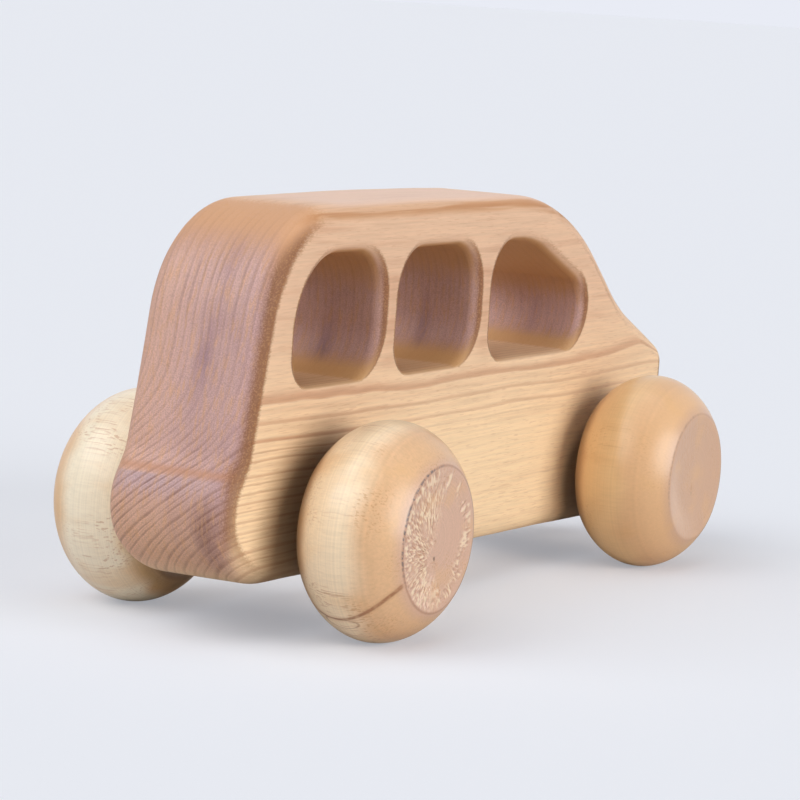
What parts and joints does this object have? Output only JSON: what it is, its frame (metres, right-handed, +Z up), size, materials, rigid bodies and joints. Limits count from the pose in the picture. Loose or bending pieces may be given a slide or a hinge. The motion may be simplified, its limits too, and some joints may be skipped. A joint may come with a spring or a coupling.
{
  "type": "toy bus",
  "caption": "Solid wooden push-along toy bus with a rounded one-piece body, through windows, a sloping windscreen and fat turned wheels on dowel axles.",
  "frame": {"origin": "on the floor under the middle of the body's length, midway between the left and right wheels", "axes": "+X forward, towards the nose; +Y to the left of the bus, along the axles; +Z up"},
  "size_m": [0.1822, 0.0734, 0.0774],
  "materials": {
    "body_wood": "sanded and oiled, satin",
    "wheel_wood": "turned, sanded and oiled, satin",
    "axle_wood": "plain dowel, matt"
  },
  "bodies": {
    "bus": {"bus_body": "body_wood"},
    "front_wheel_set": {"front_axle": "axle_wood", "front_left_wheel": "wheel_wood", "front_right_wheel": "wheel_wood"},
    "rear_wheel_set": {"rear_axle": "axle_wood", "rear_left_wheel": "wheel_wood", "rear_right_wheel": "wheel_wood"}
  },
  "joints": [
    {"name": "front_roll", "type": "hinge", "parent": "bus", "child": "front_wheel_set", "pos_m": [0.05607, 0, 0.02], "axis": [0, 1, 0], "continuous": true},
    {"name": "rear_roll", "type": "hinge", "parent": "bus", "child": "rear_wheel_set", "pos_m": [-0.05727, 0, 0.02], "axis": [0, 1, 0], "continuous": true}
  ]
}
